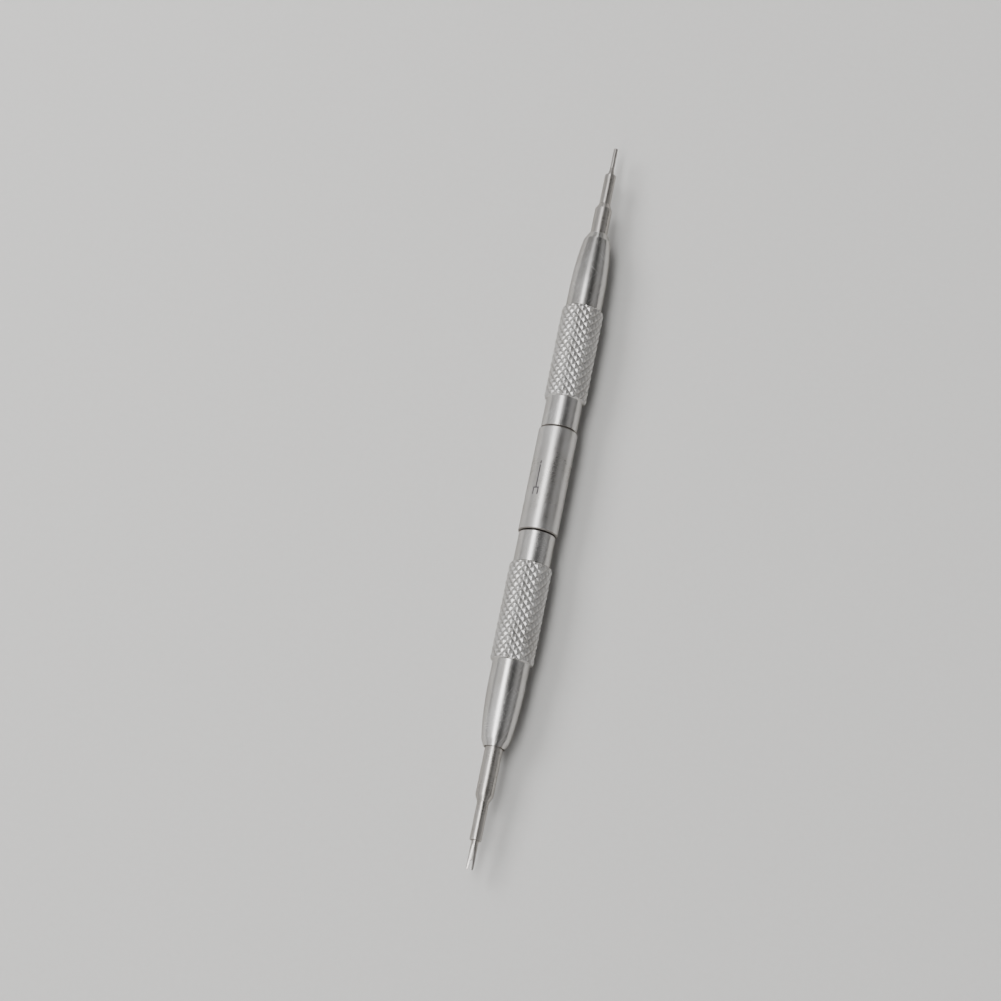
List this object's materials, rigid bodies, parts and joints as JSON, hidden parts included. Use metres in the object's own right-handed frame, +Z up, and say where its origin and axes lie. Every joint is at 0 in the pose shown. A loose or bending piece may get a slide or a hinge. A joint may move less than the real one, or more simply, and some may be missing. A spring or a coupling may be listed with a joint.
{
  "type": "spring bar tool",
  "caption": "Slim two-ended hand tool for watch-strap spring bars: smooth barrel, knurled screw-on sleeves, a stepped point tip and a stepped fork tip.",
  "frame": {"origin": "on the plane the tool rests on, half way between the tip of the point and the tip of the fork, under the tool's axis", "axes": "+Y along the tool's axis towards the point, +Z up from the resting plane, +X across the tool"},
  "size_m": [0.0078, 0.1402, 0.0078],
  "materials": {
    "barrel_steel": "stainless steel, fine turned satin, dark-filled engraved pictogram",
    "sleeve_steel": "stainless steel, diamond knurl with polished crests, fine turned nose",
    "tip_steel": "hardened tool steel, ground and lightly polished"
  },
  "bodies": {
    "barrel": {"centre_barrel": "barrel_steel"},
    "point_tip": {"point_tip": "tip_steel"},
    "point_sleeve": {"point_sleeve": "sleeve_steel"},
    "fork_tip": {"fork_tip": "tip_steel"},
    "fork_sleeve": {"fork_sleeve": "sleeve_steel"}
  },
  "joints": [
    {"name": "point_tip_travel", "type": "slide", "parent": "barrel", "child": "point_tip", "axis": [0, 1, 0], "range_m": [0, 0.006]},
    {"name": "point_sleeve_unscrew", "type": "hinge", "parent": "point_tip", "child": "point_sleeve", "pos_m": [0, 0, 0.0039], "axis": [0, 1, 0], "range_deg": [0, 2880]},
    {"name": "fork_tip_travel", "type": "slide", "parent": "barrel", "child": "fork_tip", "axis": [0, -1, 0], "range_m": [0, 0.006]},
    {"name": "fork_sleeve_unscrew", "type": "hinge", "parent": "fork_tip", "child": "fork_sleeve", "pos_m": [0, 0, 0.0039], "axis": [0, -1, 0], "range_deg": [0, 2880]}
  ],
  "couplings": [
    {"joint": "point_sleeve_unscrew", "follows": "point_tip_travel", "rad_per_m": 8377.6},
    {"joint": "fork_sleeve_unscrew", "follows": "fork_tip_travel", "rad_per_m": 8377.6}
  ]
}
